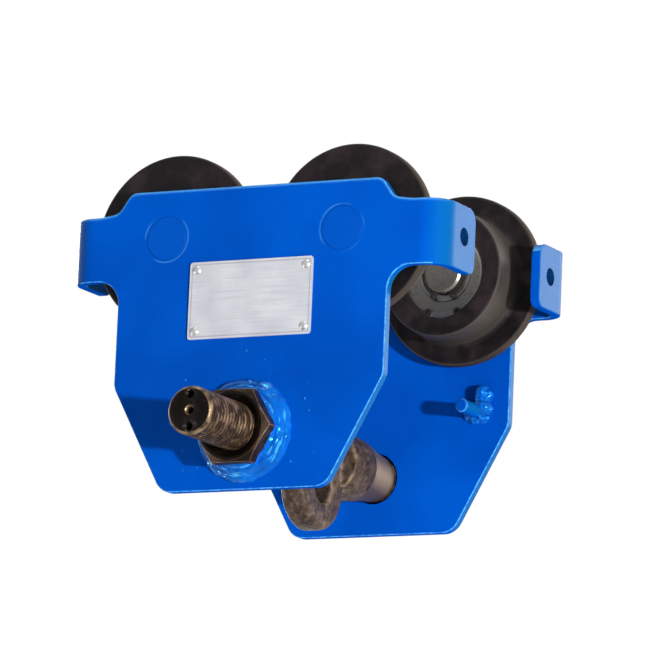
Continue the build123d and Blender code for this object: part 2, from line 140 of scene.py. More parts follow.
def blueEnamel(name, look):  # sprayed gloss enamel on steel: deep even blue, soft orange peel
    material, tree, place, shader = startMaterial(name)
    spot = addNode(tree, "ShaderNodeSeparateXYZ", {"Vector": place}).outputs
    width = addNode(tree, "ShaderNodeMath", {0: spot["X"]}, operation="ABSOLUTE")
    inward = addNode(tree, "ShaderNodeMath", {0: spot["Y"]}, operation="ABSOLUTE")
    facing = addNode(tree, "ShaderNodeNewGeometry").outputs["Normal"]
    facing = addNode(tree, "ShaderNodeSeparateXYZ", {"Vector": facing}).outputs
    cloud = addNode(tree, "ShaderNodeTexNoise", {"Vector": place, "Scale": perMetre(look["cloudMm"]), "Detail": 3.0})
    full = addNode(tree, "ShaderNodeMapRange", {"Value": cloud, 1: 0.38, 2: 0.62})
    sideways = addNode(tree, "ShaderNodeMath", {0: facing["X"]}, operation="ABSOLUTE")  # faces turned sideways get a darker, duller blue: painted shade
    sideShade = addNode(tree, "ShaderNodeMapRange", {"Value": sideways, 1: 0.15, 2: 0.95, 4: look["sideShadeShare"]})

    outward = addNode(tree, "ShaderNodeMath", {0: facing["Y"], 1: 2.0}, operation="POWER")
    inPlane = addNode(tree, "ShaderNodeMath", {0: 1.0, 1: outward}, operation="SUBTRACT")
    edge = addNode(tree, "ShaderNodeMath", {0: outward, 1: inPlane}, operation="MULTIPLY")
    edge = addNode(tree, "ShaderNodeMath", {0: edge, 1: 4.0}, operation="MULTIPLY")  # 1 half way round a sheared edge
    tilt = addNode(tree, "ShaderNodeMath", {0: facing["Z"]}, operation="ABSOLUTE")
    tilt = addNode(tree, "ShaderNodeMapRange", {"Value": tilt, 1: 0.05, 2: 0.25})
    onPlate = addNode(tree, "ShaderNodeMath", {0: width, 1: look["earFrom"] * mm}, operation="LESS_THAN")
    onBend = addNode(tree, "ShaderNodeMath", {0: width, 1: look["earFlat"] * mm}, operation="LESS_THAN")
    onBend = addNode(tree, "ShaderNodeMath", {0: onBend, 1: tilt}, operation="MULTIPLY")
    notBend = addNode(tree, "ShaderNodeMath", {0: onBend, 1: onPlate}, operation="MAXIMUM")  # an ear's bend is no edge
    away = offAxis(tree, width, spot["Z"], (axle.x, axle.z))
    offPin = addNode(tree, "ShaderNodeMapRange", {
        "Value": away, 1: look["pinRing"] * mm, 2: (look["pinRing"] + 1) * mm, 3: 0.5})
    within = addNode(tree, "ShaderNodeMath", {0: inward, 1: look["studTo"] * mm}, operation="LESS_THAN")
    below = addNode(tree, "ShaderNodeMath", {0: spot["Z"], 1: 0.0}, operation="LESS_THAN")
    onStud = addNode(tree, "ShaderNodeMath", {0: within, 1: below}, operation="MULTIPLY")
    offStud = addNode(tree, "ShaderNodeMapRange", {"Value": onStud, 3: 1.0, 4: look["studHighlight"]})
    for share in (notBend, offPin, offStud):  # rims of pins and studs get less of the painted highlight
        edge = addNode(tree, "ShaderNodeMath", {0: edge, 1: share}, operation="MULTIPLY")

    grit = addNode(tree, "ShaderNodeTexNoise", {"Vector": place, "Scale": perMetre(look["chipMm"]), "Detail": 3.0})
    uneven = addNode(tree, "ShaderNodeMapRange", {"Value": grit, 1: 0.38, 2: 0.62, 3: 0.2, 4: look["highlightShare"]})
    uneven = addNode(tree, "ShaderNodeMath", {0: uneven, 1: look["highlightShare"]}, operation="MINIMUM")
    paleHighlight = addNode(tree, "ShaderNodeMath", {0: edge, 1: uneven}, operation="MULTIPLY")  # pale blue along an edge: painted highlight
    pinRingHighlight = addNode(tree, "ShaderNodeMath", {0: away, 1: (look["pinRing"] - 0.5) * mm}, operation="SUBTRACT")
    pinRingHighlight = addNode(tree, "ShaderNodeMath", {0: pinRingHighlight}, operation="ABSOLUTE")
    pinRingHighlight = addNode(tree, "ShaderNodeMapRange", {"Value": pinRingHighlight, 1: 0.1 * mm, 2: 0.6 * mm, 3: look["highlightShare"] / 3, 4: 0.0})
    broken = addNode(tree, "ShaderNodeTexNoise", {"Vector": place, "Scale": perMetre(look["pinRing"]), "Detail": 1.0})
    broken = addNode(tree, "ShaderNodeMapRange", {"Value": broken, 1: 0.42, 2: 0.6})
    pinRingHighlight = addNode(tree, "ShaderNodeMath", {0: pinRingHighlight, 1: broken}, operation="MULTIPLY")  # pale broken ring at the joint round a pin: painted highlight
    paleHighlight = addNode(tree, "ShaderNodeMath", {0: paleHighlight, 1: pinRingHighlight}, operation="MAXIMUM")
    # a pale band along the upper edges: painted highlight
    if look["topHighlight"]:
        upper = addNode(tree, "ShaderNodeBevel", {"Radius": look["topMm"] * mm}, samples=4)
        upper = addNode(tree, "ShaderNodeSeparateXYZ", {"Vector": upper}).outputs["Z"]
        upper = addNode(tree, "ShaderNodeMapRange", {"Value": upper, 1: 0.1, 2: 0.45, 4: look["topHighlight"]})
        high = addNode(tree, "ShaderNodeMath", {0: spot["Z"], 1: look["topFrom"] * mm}, operation="GREATER_THAN")
        for share in (outward, high):
            upper = addNode(tree, "ShaderNodeMath", {0: upper, 1: share}, operation="MULTIPLY")
        paleHighlight = addNode(tree, "ShaderNodeMath", {0: paleHighlight, 1: upper}, operation="MAXIMUM")
    bare = addNode(tree, "ShaderNodeMapRange", {"Value": grit, 1: 0.69, 2: 0.73})
    chip = addNode(tree, "ShaderNodeMath", {0: bare, 1: edge}, operation="MULTIPLY")  # small chips on the edges only
    holeShadeMask = offAxis(tree, inward, spot["Z"], earHole["pos_m"][1:])
    boreMm = earHole["dims"]["r_mm"]
    holeShadeMask = addNode(tree, "ShaderNodeMapRange", {  # an ear's hole painted darker: painted shade
        "Value": holeShadeMask, 1: (boreMm + 0.05) * mm, 2: (boreMm + 0.3) * mm, 3: 1.0, 4: 0.0})
    coats = [(full, "color"), (sideShade, "sideShade"), (paleHighlight, "paleHighlight"), (chip, "chip"), (holeShadeMask, "holeShade")]

    if look["streak"]:  # pale streaks along the ridges of a bead, which run round the bar: painted highlights
        drop = addNode(tree, "ShaderNodeMath", {0: spot["Z"], 1: barZ}, operation="SUBTRACT")
        turn = addNode(tree, "ShaderNodeMath", {0: drop, 1: spot["X"]}, operation="ARCTAN2")
        turn = addNode(tree, "ShaderNodeMath", {0: turn, 1: 1 / look["streakTurn"]}, operation="MULTIPLY")
        reach = offAxis(tree, spot["X"], spot["Z"], (0, barZ))
        reach = addNode(tree, "ShaderNodeMath", {0: reach, 1: perMetre(look["streakMm"])}, operation="MULTIPLY")
        ridgeHighlight = addNode(tree, "ShaderNodeCombineXYZ", {"X": turn, "Y": reach})
        ridgeHighlight = addNode(tree, "ShaderNodeTexNoise", {"Vector": ridgeHighlight, "Scale": 1.0, "Detail": 2.0})
        ridgeHighlight = addNode(tree, "ShaderNodeMapRange", {"Value": ridgeHighlight, 1: 0.58, 2: 0.72, 4: look["streak"]})
        coats.append((ridgeHighlight, "paleHighlight"))
    tone = layCoats(tree, look["deep"], *((mask, look[coat]) for mask, coat in coats))
    dust = addNode(tree, "ShaderNodeTexNoise", {"Vector": place, "Scale": perMetre(look["dustMm"]), "Detail": 1.0})
    rough = addNode(tree, "ShaderNodeMapRange", {
        "Value": dust, 1: 0.3, 2: 0.75, 3: look["roughness"] - 0.03, 4: look["roughness"] + 0.1})
    peel = addNode(tree, "ShaderNodeTexNoise", {"Vector": place, "Scale": perMetre(look["peelMm"]), "Detail": 1.0})
    bump = addNode(tree, "ShaderNodeBump", {"Height": peel, "Strength": 1.0, "Distance": look["peelDeep"] * mm})
    setInputs(tree, shader, {
        "Base Color": tone, "Roughness": rough, "Normal": bump, "Specular IOR Level": look["shine"],
        "Specular Tint": linearColor(look["gleam"])})  # the pigment colours its own shine
    if look["dullBelow"]:  # under the plates the coat is dull
        lit = addNode(tree, "ShaderNodeMapRange", {"Value": facing["Z"], 1: -0.9, 2: -0.5, 4: look["shine"]})
        setInputs(tree, shader, {"Specular IOR Level": lit})
    return material


weldEnamel = dict(enamel, color="#0053B0", deep="#00429A", paleHighlight="#48B4EA", gleam="#58DCFF", roughness=0.13, shine=0.7,
                  dullBelow=False, cloudMm=9.0, peelMm=2.2, peelDeep=0.12, highlightShare=0.0, sideShadeShare=0.0, topHighlight=0.0,
                  streak=0.75)

barSteel = {
    "scale": "#271E1A", "rub": "#57483F", "oil": "#1E120B", "glint": "#BFA27E", "crest": "#987A5C",
    "turned": "#B49C7C", "stainAndShade": "#352A22", "face": "#0F0B09",
    "patchMm": 5.0, "gritMm": 2.2, "streakMm": 1.8, "reliefMm": 0.25,
    "turnedFrom": 38.5, "turnedTo": 66.0, "threadFrom": 60.0, "threadFull": 66.0,  # along the bar from its middle, mm
    "holesFrom": 112.0, "chamferFrom": 128.4, "faceFrom": 129.85,
    "centreHole": 2.5, "faceRadius": 9.6, "crestFrom": 11.6,  # radii, mm
    "shadeBelowFrom": -10.0, "shadeAboveFrom": -3.0, "shadeAboveTo": 6.0,  # heights over the bar's axis, mm
    "threadOil": 0.8, "faceDirt": 0.94, "edgeMm": 2.8, "edgeWearAndGlint": 2.3, "threadEdgeMm": 0.8, "threadEdgeWearAndGlint": 0.55,
}


def oiledBarSteel(name, look):  # forging in its oiled scale, turned beside the collars: brown-black, worn at edges, with painted glints and painted shade
    material, tree, place, shader = startMaterial(name)
    spot = addNode(tree, "ShaderNodeSeparateXYZ", {"Vector": place}).outputs
    along = addNode(tree, "ShaderNodeMath", {0: spot["Y"]}, operation="ABSOLUTE")
    drop = addNode(tree, "ShaderNodeMath", {0: spot["Z"], 1: barZ}, operation="SUBTRACT")
    radius = offAxis(tree, spot["X"], spot["Z"], (0, barZ))
    patch = addNode(tree, "ShaderNodeTexNoise", {"Vector": place, "Scale": perMetre(look["patchMm"]), "Detail": 5.0})
    grit = addNode(tree, "ShaderNodeTexNoise", {
        "Vector": place, "Scale": perMetre(look["gritMm"]), "Detail": 6.0, "Roughness": 0.65})
    mottle = addNode(tree, "ShaderNodeMath", {0: patch, 1: grit}, operation="ADD")
    worn = addNode(tree, "ShaderNodeMapRange", {"Value": mottle, 1: 0.78, 2: 1.24})

    threadStart = {"Value": along, 1: look["threadFrom"] * mm, 2: look["threadFull"] * mm}
    onThread = addNode(tree, "ShaderNodeMapRange", {**threadStart, 4: look["threadOil"]})
    shadeBelow = addNode(tree, "ShaderNodeMapRange", {  # darker towards the bottom: painted shade
        "Value": drop, 1: look["shadeBelowFrom"] * mm, 2: 0.0, 3: 0.1})
    # the thread darker towards its bottom: painted shade
    shadedThread = addNode(tree, "ShaderNodeMapRange", {"Value": shadeBelow, 1: 0.1, 2: 1.0, 3: 1.0, 4: 0.0})
    shadedThread = addNode(tree, "ShaderNodeMath", {0: shadedThread, 1: onThread}, operation="MULTIPLY")
    patchy = addNode(tree, "ShaderNodeMapRange", {"Value": patch, 1: 0.42, 2: 0.62, 3: 0.1})
    crest = addNode(tree, "ShaderNodeMapRange", {
        "Value": radius, 1: look["crestFrom"] * mm, 2: (look["crestFrom"] + 0.35) * mm})
    for share in (patchy, shadeBelow, onThread):  # the nuts rub the crests
        crest = addNode(tree, "ShaderNodeMath", {0: crest, 1: share}, operation="MULTIPLY")
    speck = addNode(tree, "ShaderNodeMapRange", {"Value": grit, 1: 0.54, 2: 0.68})
    threadRubAndGlint = addNode(tree, "ShaderNodeMapRange", {  # the threads are rubbed bright, the forging hardly; the flecks are partly painted glints
        **threadStart, 3: 0.14, 4: 0.4})
    for share in (patchy, threadRubAndGlint):
        speck = addNode(tree, "ShaderNodeMath", {0: speck, 1: share}, operation="MULTIPLY")

    turned = addNode(tree, "ShaderNodeMapRange", {
        "Value": along, 1: (look["turnedFrom"] - 0.6) * mm, 2: look["turnedFrom"] * mm})
    turnedOut = addNode(tree, "ShaderNodeMapRange", {
        "Value": along, 1: look["turnedTo"] * mm, 2: (look["turnedTo"] + 1) * mm, 3: 1.0, 4: 0.0})
    turned = addNode(tree, "ShaderNodeMath", {0: turned, 1: turnedOut}, operation="MULTIPLY")
    rings = addNode(tree, "ShaderNodeTexNoise", {  # tool marks, drawn coarser than real so that they show
        "W": along, "Scale": perMetre(look["streakMm"]), "Detail": 2.0}, noise_dimensions="1D")
    band = addNode(tree, "ShaderNodeMapRange", {"Value": rings, 1: 0.26, 2: 0.7, 3: 0.7})
    shadeAbove = addNode(tree, "ShaderNodeMapRange", {  # darker towards the top: painted shade
        "Value": drop, 1: look["shadeAboveFrom"] * mm, 2: look["shadeAboveTo"] * mm, 3: 1.0, 4: 0.24})
    for share in (shadeBelow, shadeAbove):
        band = addNode(tree, "ShaderNodeMath", {0: band, 1: share}, operation="MULTIPLY")
    # tool marks of stain in the turned colour; the darker top and bottom are painted shade
    machined = layCoats(tree, look["stainAndShade"], (band, look["turned"]))

    endFace = addNode(tree, "ShaderNodeMapRange", {
        "Value": along, 1: (look["faceFrom"] - 0.05) * mm, 2: look["faceFrom"] * mm})
    inHole = addNode(tree, "ShaderNodeMapRange", {
        "Value": radius, 1: (look["centreHole"] - 0.2) * mm, 2: (look["centreHole"] + 0.2) * mm})
    inBar = addNode(tree, "ShaderNodeMapRange", {
        "Value": radius, 1: look["faceRadius"] * mm, 2: (look["faceRadius"] + 0.3) * mm, 3: 1.0, 4: 0.0})
    atEnd = addNode(tree, "ShaderNodeMapRange", {
        "Value": along, 1: (look["holesFrom"] - 0.5) * mm, 2: look["holesFrom"] * mm})
    for share in (inBar, atEnd):
        inHole = addNode(tree, "ShaderNodeMath", {0: inHole, 1: share}, operation="MULTIPLY")
    endFace = addNode(tree, "ShaderNodeMath", {0: endFace, 1: inHole}, operation="MAXIMUM")  # the holes get the same painted shade
    # the end face and its holes painted near black: painted shade
    dark = addNode(tree, "ShaderNodeMath", {0: endFace, 1: look["faceDirt"]}, operation="MULTIPLY")
    # bright edges and chamfer: worn metal and painted glint
    chamfer = addNode(tree, "ShaderNodeMapRange", {
        "Value": along, 1: (look["chamferFrom"] - 0.3) * mm, 2: look["chamferFrom"] * mm})
    chamfer = addNode(tree, "ShaderNodeMath", {0: chamfer, 1: endFace}, operation="SUBTRACT")
    threadShare = {"Value": onThread, 1: 0.0, 2: look["threadOil"]}
    edge = addNode(tree, "ShaderNodeMapRange", {
        **threadShare, 3: look["edgeMm"] * mm, 4: look["threadEdgeMm"] * mm})
    sharp = addNode(tree, "ShaderNodeMapRange", {**threadShare, 3: look["edgeWearAndGlint"], 4: look["threadEdgeWearAndGlint"]})
    bright = addNode(tree, "ShaderNodeMath", {0: edgeMask(tree, edge), 1: sharp}, operation="MULTIPLY")
    bright = addNode(tree, "ShaderNodeMath", {0: bright, 1: chamfer}, operation="MAXIMUM")
    rubAndGlint = addNode(tree, "ShaderNodeMapRange", {"Value": patch, 1: 0.4, 2: 0.64, 3: 0.05, 4: 0.5})
    bright = addNode(tree, "ShaderNodeMath", {0: bright, 1: rubAndGlint}, operation="MULTIPLY")

    tone = layCoats(tree, look["scale"], (worn, look["rub"]), (onThread, look["oil"]), (shadedThread, look["oil"]),
                    (crest, look["crest"]), (speck, look["glint"]), (turned, machined), (dark, look["face"]),
                    (bright, look["glint"]))
    rough = addNode(tree, "ShaderNodeMapRange", {"Value": grit, 1: 0.3, 2: 0.7, 3: 0.5, 4: 0.3})
    fine = addNode(tree, "ShaderNodeMath", {0: rings, 1: 0.2}, operation="MULTIPLY")
    relief = addNode(tree, "ShaderNodeMix", {0: turned, 2: grit, 3: fine})
    bump = addNode(tree, "ShaderNodeBump", {"Height": relief, "Strength": 0.7, "Distance": look["reliefMm"] * mm})
    threadOutOfShade = addNode(tree, "ShaderNodeMath", {0: onThread, 1: shadeBelow}, operation="MULTIPLY")
    metal = addNode(tree, "ShaderNodeMapRange", {"Value": threadOutOfShade, 1: 0.0, 2: look["threadOil"], 3: 0.2, 4: 0.65})
    setInputs(tree, shader, {
        "Base Color": tone, "Roughness": rough, "Normal": bump, "Metallic": metal, "Specular IOR Level": 0.1})
    return material


nutSteel = {
    "oil": "#19110D", "rub": "#3E2E24", "glint": "#B89A78", "darkMouthColor": "#0E0907", "paint": "#0059C8",
    "patchMm": 6.0, "gritMm": 1.2, "edgeMm": 0.9, "reliefMm": 0.2,
    "paintTo": 80.0, "paintWander": 5.0,  # overspray at the foot, mm along the bar from its middle
    "darkMouthTo": 17.3, "darkMouth": 0.92,  # radius of the dark ring round the mouth, mm
}


def oiledNutSteel(name, look):  # blackened nut with blue overspray at its foot, a dark ring round its mouth and painted glints on its edges
    material, tree, place, shader = startMaterial(name)
    spot = addNode(tree, "ShaderNodeSeparateXYZ", {"Vector": place}).outputs
    along = addNode(tree, "ShaderNodeMath", {0: spot["Y"]}, operation="ABSOLUTE")
    radius = offAxis(tree, spot["X"], spot["Z"], (0, barZ))
    patch = addNode(tree, "ShaderNodeTexNoise", {"Vector": place, "Scale": perMetre(look["patchMm"]), "Detail": 4.0})
    grit = addNode(tree, "ShaderNodeTexNoise", {"Vector": place, "Scale": perMetre(look["gritMm"]), "Detail": 5.0})
    worn = addNode(tree, "ShaderNodeMapRange", {"Value": patch, 1: 0.4, 2: 0.7})
    edge = edgeMask(tree, look["edgeMm"] * mm)
    # edges lighter: rubbed metal and painted glint
    rubAndGlint = addNode(tree, "ShaderNodeMath", {0: edge, 1: patch}, operation="MULTIPLY")
    wander = addNode(tree, "ShaderNodeMath", {0: patch, 1: look["paintWander"] * mm}, operation="MULTIPLY")
    height = addNode(tree, "ShaderNodeMath", {0: along, 1: wander}, operation="SUBTRACT")
    footMm = look["paintTo"] - look["paintWander"] / 2
    sprayed = addNode(tree, "ShaderNodeMapRange", {
        "Value": height, 1: footMm * mm, 2: (footMm + 1) * mm, 3: 1.0, 4: 0.0})
    mouthMm = look["darkMouthTo"]
    # a dark ring round the mouth
    darkMouth = addNode(tree, "ShaderNodeMapRange", {
        "Value": radius, 1: (mouthMm - 0.5) * mm, 2: (mouthMm + 0.2) * mm, 3: look["darkMouth"], 4: 0.0})
    tone = layCoats(tree, look["oil"], (worn, look["rub"]), (rubAndGlint, look["glint"]), (sprayed, look["paint"]),
                    (darkMouth, look["darkMouthColor"]))
    metal = addNode(tree, "ShaderNodeMapRange", {"Value": sprayed, 3: 0.35, 4: 0.0})
    rough = addNode(tree, "ShaderNodeMapRange", {"Value": grit, 1: 0.3, 2: 0.7, 3: 0.48, 4: 0.32})
    bump = addNode(tree, "ShaderNodeBump", {"Height": grit, "Strength": 0.25, "Distance": look["reliefMm"] * mm})
    setInputs(tree, shader, {
        "Base Color": tone, "Roughness": rough, "Normal": bump, "Metallic": metal, "Specular IOR Level": 0.1})
    return material


wheelIron = {
    "skin": "#0D0A0C", "rust": "#271E21", "edge": "#3A312A", "tread": "#6A635C",
    "patchMm": 10.0, "castMm": 1.8, "ringMm": 1.2, "reliefMm": 0.2,
    "rimEdge": 42.4, "treadFrom": 32.0, "rimInner": 59.3,  # radii and place of the rim, mm
}


def blackWheelIron(name, look):  # turned cast iron, blackened: dull and nearly black, tread run bright
    material, tree, place, shader = startMaterial(name)
    spot = addNode(tree, "ShaderNodeSeparateXYZ", {"Vector": place}).outputs
    side = addNode(tree, "ShaderNodeMath", {0: spot["X"]}, operation="ABSOLUTE")
    across = addNode(tree, "ShaderNodeMath", {0: spot["Y"]}, operation="ABSOLUTE")
    radius = offAxis(tree, side, spot["Z"], (axle.x, axle.z))
    patch = addNode(tree, "ShaderNodeTexNoise", {"Vector": place, "Scale": perMetre(look["patchMm"]), "Detail": 5.0})
    cast = addNode(tree, "ShaderNodeTexNoise", {"Vector": place, "Scale": perMetre(look["castMm"]), "Detail": 5.0})
    rusty = addNode(tree, "ShaderNodeMapRange", {"Value": patch, 1: 0.42, 2: 0.7})
    # a lighter band round the rim's outer edge: painted highlight
    rim = addNode(tree, "ShaderNodeMapRange", {
        "Value": radius, 1: look["rimEdge"] * mm, 2: (look["rimEdge"] + 0.6) * mm, 4: 0.7})
    onTread = addNode(tree, "ShaderNodeMapRange", {
        "Value": radius, 1: look["treadFrom"] * mm, 2: (look["treadFrom"] + 0.4) * mm})
    notRim = addNode(tree, "ShaderNodeMapRange", {
        "Value": across, 1: (look["rimInner"] - 3) * mm, 2: (look["rimInner"] - 1) * mm, 3: 1.0, 4: 0.0})
    run = addNode(tree, "ShaderNodeMath", {0: onTread, 1: notRim}, operation="MULTIPLY")
    lines = addNode(tree, "ShaderNodeTexNoise", {"W": across, "Scale": perMetre(look["ringMm"]), "Detail": 2.0},
                    noise_dimensions="1D")
    streak = addNode(tree, "ShaderNodeMapRange", {"Value": lines, 1: 0.3, 2: 0.7, 3: 0.35, 4: 0.65})
    polish = addNode(tree, "ShaderNodeMath", {0: run, 1: streak}, operation="MULTIPLY")
    tone = layCoats(tree, look["skin"], (rusty, look["rust"]), (rim, look["edge"]), (polish, look["tread"]))
    turned = addNode(tree, "ShaderNodeTexNoise", {"W": radius, "Scale": perMetre(look["ringMm"]), "Detail": 1.0},
                     noise_dimensions="1D")
    relief = addNode(tree, "ShaderNodeMath", {0: cast, 1: turned}, operation="ADD")
    rough = addNode(tree, "ShaderNodeMapRange", {"Value": polish, 3: 0.58, 4: 0.3})
    bump = addNode(tree, "ShaderNodeBump", {"Height": relief, "Strength": 0.3, "Distance": look["reliefMm"] * mm})
    setInputs(tree, shader, {
        "Base Color": tone, "Roughness": rough, "Normal": bump, "Metallic": polish, "Specular IOR Level": 0.15})
    return material


pinLook = {"paint": "#004CB1", "steel": "#8E8A84", "oil": "#5E5A55", "paintFrom": 68.0, "markMm": 0.9}


def axlePinSteel(name, look):  # drawn steel pin, its end painted over with the plate
    material, tree, place, shader = startMaterial(name)
    along = addNode(tree, "ShaderNodeSeparateXYZ", {"Vector": place}).outputs["Y"]
    along = addNode(tree, "ShaderNodeMath", {0: along}, operation="ABSOLUTE")
    painted = addNode(tree, "ShaderNodeMapRange", {
        "Value": along, 1: look["paintFrom"] * mm, 2: (look["paintFrom"] + 0.5) * mm})
    marks = addNode(tree, "ShaderNodeTexNoise", {"Vector": place, "Scale": perMetre(look["markMm"]), "Detail": 3.0})
    tone = layCoats(tree, look["oil"], (marks, look["steel"]), (painted, look["paint"]))
    metal = addNode(tree, "ShaderNodeMapRange", {"Value": painted, 3: 0.9, 4: 0.0})
    rough = addNode(tree, "ShaderNodeMapRange", {"Value": marks, 1: 0.3, 2: 0.7, 3: 0.28, 4: 0.42})
    setInputs(tree, shader, {"Base Color": tone, "Roughness": rough, "Metallic": metal, "Specular IOR Level": 0.045})
    return material


def bareMetal(name, pale, dark, markMm, roughness, metal):  # ground or pressed, unpainted: even sheen, fine marks
    material, tree, place, shader = startMaterial(name)
    marks = addNode(tree, "ShaderNodeTexNoise", {"Vector": place, "Scale": perMetre(markMm), "Detail": 4.0})
    tone = layCoats(tree, dark, (marks, pale))
    rough = addNode(tree, "ShaderNodeMapRange", {"Value": marks, 1: 0.3, 2: 0.7, 3: roughness + 0.1, 4: roughness})
    bump = addNode(tree, "ShaderNodeBump", {"Height": marks, "Strength": 0.15, "Distance": 0.02 * mm})
    setInputs(tree, shader, {"Base Color": tone, "Roughness": rough, "Normal": bump, "Metallic": metal})
    return material


sheetLook = {
    "pale": "#D0D1D7", "dark": "#B4B6BE", "line": "#868993", "metal": 0.35,
    "brushMm": 0.45, "brushRunMm": 25.0, "cloudMm": 18.0, "reliefMm": 0.1,
    "lineIn": 1.3, "lineWide": 0.35, "lineDark": 0.75,  # engraved border, mm
}


def brushedSheet(name, look):  # anodised aluminium sheet: pale silver with fine streaks and an engraved border
    material, tree, place, shader = startMaterial(name)
    low, high = (Vector(c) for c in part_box("nameplate"))
    runs = addNode(tree, "ShaderNodeMapping", {
        "Vector": place, "Scale": (look["brushMm"] / look["brushRunMm"], 1, 1)})
    brush = addNode(tree, "ShaderNodeTexNoise", {"Vector": runs, "Scale": perMetre(look["brushMm"]), "Detail": 2.0})
    cloud = addNode(tree, "ShaderNodeTexNoise", {"Vector": place, "Scale": perMetre(look["cloudMm"]), "Detail": 3.0})
    mixed = addNode(tree, "ShaderNodeMath", {0: brush, 1: cloud}, operation="MULTIPLY")
    shade = addNode(tree, "ShaderNodeMapRange", {"Value": mixed, 1: 0.12, 2: 0.4})
    centred = addNode(tree, "ShaderNodeVectorMath", {0: place, 1: (low + high) / 2}, operation="SUBTRACT")
    away = addNode(tree, "ShaderNodeVectorMath", {0: centred}, operation="ABSOLUTE")
    margin = addNode(tree, "ShaderNodeVectorMath", {0: (high - low) / 2, 1: away}, operation="SUBTRACT")
    inset = addNode(tree, "ShaderNodeSeparateXYZ", {"Vector": margin}).outputs
    inset = addNode(tree, "ShaderNodeMath", {0: inset["X"], 1: inset["Z"]}, operation="MINIMUM")
    offLine = addNode(tree, "ShaderNodeMath", {0: inset, 1: look["lineIn"] * mm}, operation="SUBTRACT")
    offLine = addNode(tree, "ShaderNodeMath", {0: offLine}, operation="ABSOLUTE")
    line = addNode(tree, "ShaderNodeMapRange", {
        "Value": offLine, 1: look["lineWide"] * 0.3 * mm, 2: look["lineWide"] * mm, 3: look["lineDark"], 4: 0.0})
    tone = layCoats(tree, look["dark"], (shade, look["pale"]), (line, look["line"]))
    height = addNode(tree, "ShaderNodeMath", {0: brush, 1: line}, operation="SUBTRACT")
    rough = addNode(tree, "ShaderNodeMapRange", {"Value": brush, 1: 0.3, 2: 0.7, 3: 0.34, 4: 0.5})
    bump = addNode(tree, "ShaderNodeBump", {"Height": height, "Strength": 0.15, "Distance": look["reliefMm"] * mm})
    setInputs(tree, shader, {"Base Color": tone, "Roughness": rough, "Normal": bump, "Metallic": look["metal"]})
    return material


materials = {  # a bare metal has its pale and dark colour, mm between marks, roughness and metallic
    "blue_paint": blueEnamel("sprayedBlueEnamel", enamel),
    "blue_weld": blueEnamel("blueEnamelOnWeld", weldEnamel),
    "bar_steel": oiledBarSteel("oiledForgedSteel", barSteel),
    "nut_steel": oiledNutSteel("oiledNutSteel", nutSteel),
    "axle_steel": axlePinSteel("drawnSteelPin", pinLook),
    "wheel_iron": blackWheelIron("blackenedCastIron", wheelIron),
    "bearing_steel": bareMetal("groundBearingSteel", "#B4B3AF", "#A3A19D", 4.0, 0.24, 1.0),
    "cage_steel": bareMetal("pressedCageSteel", "#9C988F", "#6E6A62", 1.5, 0.38, 1.0),
    "shield_steel": bareMetal("pressedShieldSteel", "#A3A09A", "#77746E", 2.0, 0.32, 1.0),
    "spring_steel": bareMetal("blackSpringSteel", "#55514E", "#2C2927", 3.0, 0.4, 0.9),
    "nameplate_aluminium": brushedSheet("brushedAluminiumSheet", sheetLook),
    "rivet_aluminium": bareMetal("aluminiumRivet", "#CFCFCD", "#9A9997", 0.8, 0.35, 0.9),
}
for part in frame["record"]["subparts"]:
    node = cadNodes[part["node"]]
    node.data.materials.clear()
    node.data.materials.append(materials[part["material_slot"]])
print("materials:", len(materials))


def startTree(name, sizes):  # a Geometry Nodes tree with one named input for each size
    tree = bpy.data.node_groups.new(name, "GeometryNodeTree")
    kinds = {int: "NodeSocketInt", float: "NodeSocketFloat", Vector: "NodeSocketVector"}
    for size, value in sizes.items():
        tree.interface.new_socket(name=size, in_out="INPUT", socket_type=kinds[type(value)])
    tree.interface.new_socket(name="Geometry", in_out="OUTPUT", socket_type="NodeSocketGeometry")
    return tree, tree.nodes.new("NodeGroupInput").outputs


def startSleeve(tree, around, along):  # a grid to wrap round an axis, with its two shares from 0 to 1
    grid = addNode(tree, "GeometryNodeMeshGrid", {
        "Size X": 1.0, "Size Y": 1.0, "Vertices X": around, "Vertices Y": along})
    spot = addNode(tree, "ShaderNodeSeparateXYZ", {"Vector": addNode(tree, "GeometryNodeInputPosition")}).outputs
    return grid, *(addNode(tree, "ShaderNodeMath", {0: spot[axis], 1: 0.5}, operation="ADD") for axis in "XY")


def roundAxis(tree, angle, radius):  # level and rise of a point on a circle
    for wave in ("COSINE", "SINE"):
        share = addNode(tree, "ShaderNodeMath", {0: angle}, operation=wave)
        yield addNode(tree, "ShaderNodeMath", {0: share, 1: radius}, operation="MULTIPLY")


def closeTree(tree, geometry, material):
    smooth = addNode(tree, "GeometryNodeSetShadeSmooth", {"Geometry": geometry})
    painted = addNode(tree, "GeometryNodeSetMaterial", {"Geometry": smooth, "Material": material})
    addNode(tree, "NodeGroupOutput", {"Geometry": painted})


def runTree(tree, sizes):
    carrier = bpy.data.objects.new(tree.name, bpy.data.meshes.new(tree.name))
    scene.collection.objects.link(carrier)
    modifier = carrier.modifiers.new("shape", "NODES")
    modifier.node_group = tree
    for item in tree.interface.items_tree:
        if item.in_out == "INPUT":
            modifier[item.identifier] = sizes[item.name]
    ready = carrier.evaluated_get(bpy.context.evaluated_depsgraph_get())
    mesh = bpy.data.meshes.new_from_object(ready)
    carrier.modifiers.remove(modifier)
    bpy.data.objects.remove(carrier)
    return mesh


def turnOut(shape, mesh):  # points every face outwards, fills the mesh and counts what is left open
    bmesh.ops.recalc_face_normals(shape, faces=shape.faces)
    openEdges = sum(e.is_boundary for e in shape.edges)
    shape.to_mesh(mesh)
    shape.free()
    return openEdges


def showPiece(name, mesh, body, slot, *replaced):
    piece = bpy.data.objects.new(name, mesh)
    mesh.name = name
    scene.collection.objects.link(piece)
    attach(piece, body)
    if replaced:
        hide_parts(*replaced)


